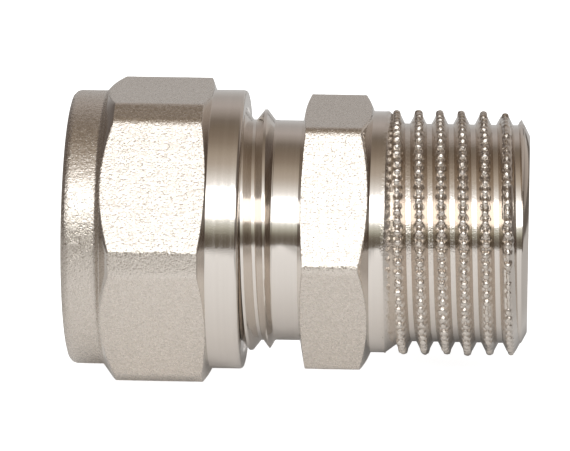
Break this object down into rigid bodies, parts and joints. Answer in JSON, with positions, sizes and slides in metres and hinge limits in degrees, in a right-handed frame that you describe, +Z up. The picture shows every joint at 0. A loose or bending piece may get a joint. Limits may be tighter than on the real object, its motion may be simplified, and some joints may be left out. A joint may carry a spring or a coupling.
{
  "type": "compression coupling",
  "caption": "Straight compression coupling: hexagon body with a male pipe thread, ribbed stem with O-rings, split clamping ring and hexagon nut that screws over a multilayer pipe.",
  "frame": {"origin": "centre of the flat end face of the male thread, on the axis of the coupling", "axes": "+X along the axis, out of the male thread and away from the nut; +Z up, square to a flat of the body's hexagon; +Y to the back"},
  "size_m": [0.0384, 0.0264, 0.024],
  "materials": {
    "plated_body": "nickel-plated brass, turned bright, with sand-blasted flats",
    "plated_nut": "nickel-plated brass, sand-blasted, with a turned collar",
    "ring_brass": "turned bare brass",
    "seal_rubber": "smooth black EPDM rubber",
    "washer_plastic": "white PTFE"
  },
  "bodies": {
    "fitting_body": {"body": "plated_body", "o_ring_outer": "seal_rubber", "o_ring_inner": "seal_rubber", "insulating_washer": "washer_plastic"},
    "clamp_ring": {"split_ring": "ring_brass"},
    "union_nut": {"nut": "plated_nut"}
  },
  "joints": [
    {"name": "ring_travel", "type": "slide", "parent": "fitting_body", "child": "clamp_ring", "axis": [-1, 0, 0], "range_m": [0, 0.00545]},
    {"name": "nut_turn", "type": "hinge", "parent": "clamp_ring", "child": "union_nut", "pos_m": [-0.031, 0, 0], "axis": [-1, 0, 0], "range_deg": [0, 1080]}
  ],
  "couplings": [
    {"joint": "ring_travel", "follows": "nut_turn", "m_per_rad": 0.00028875}
  ]
}
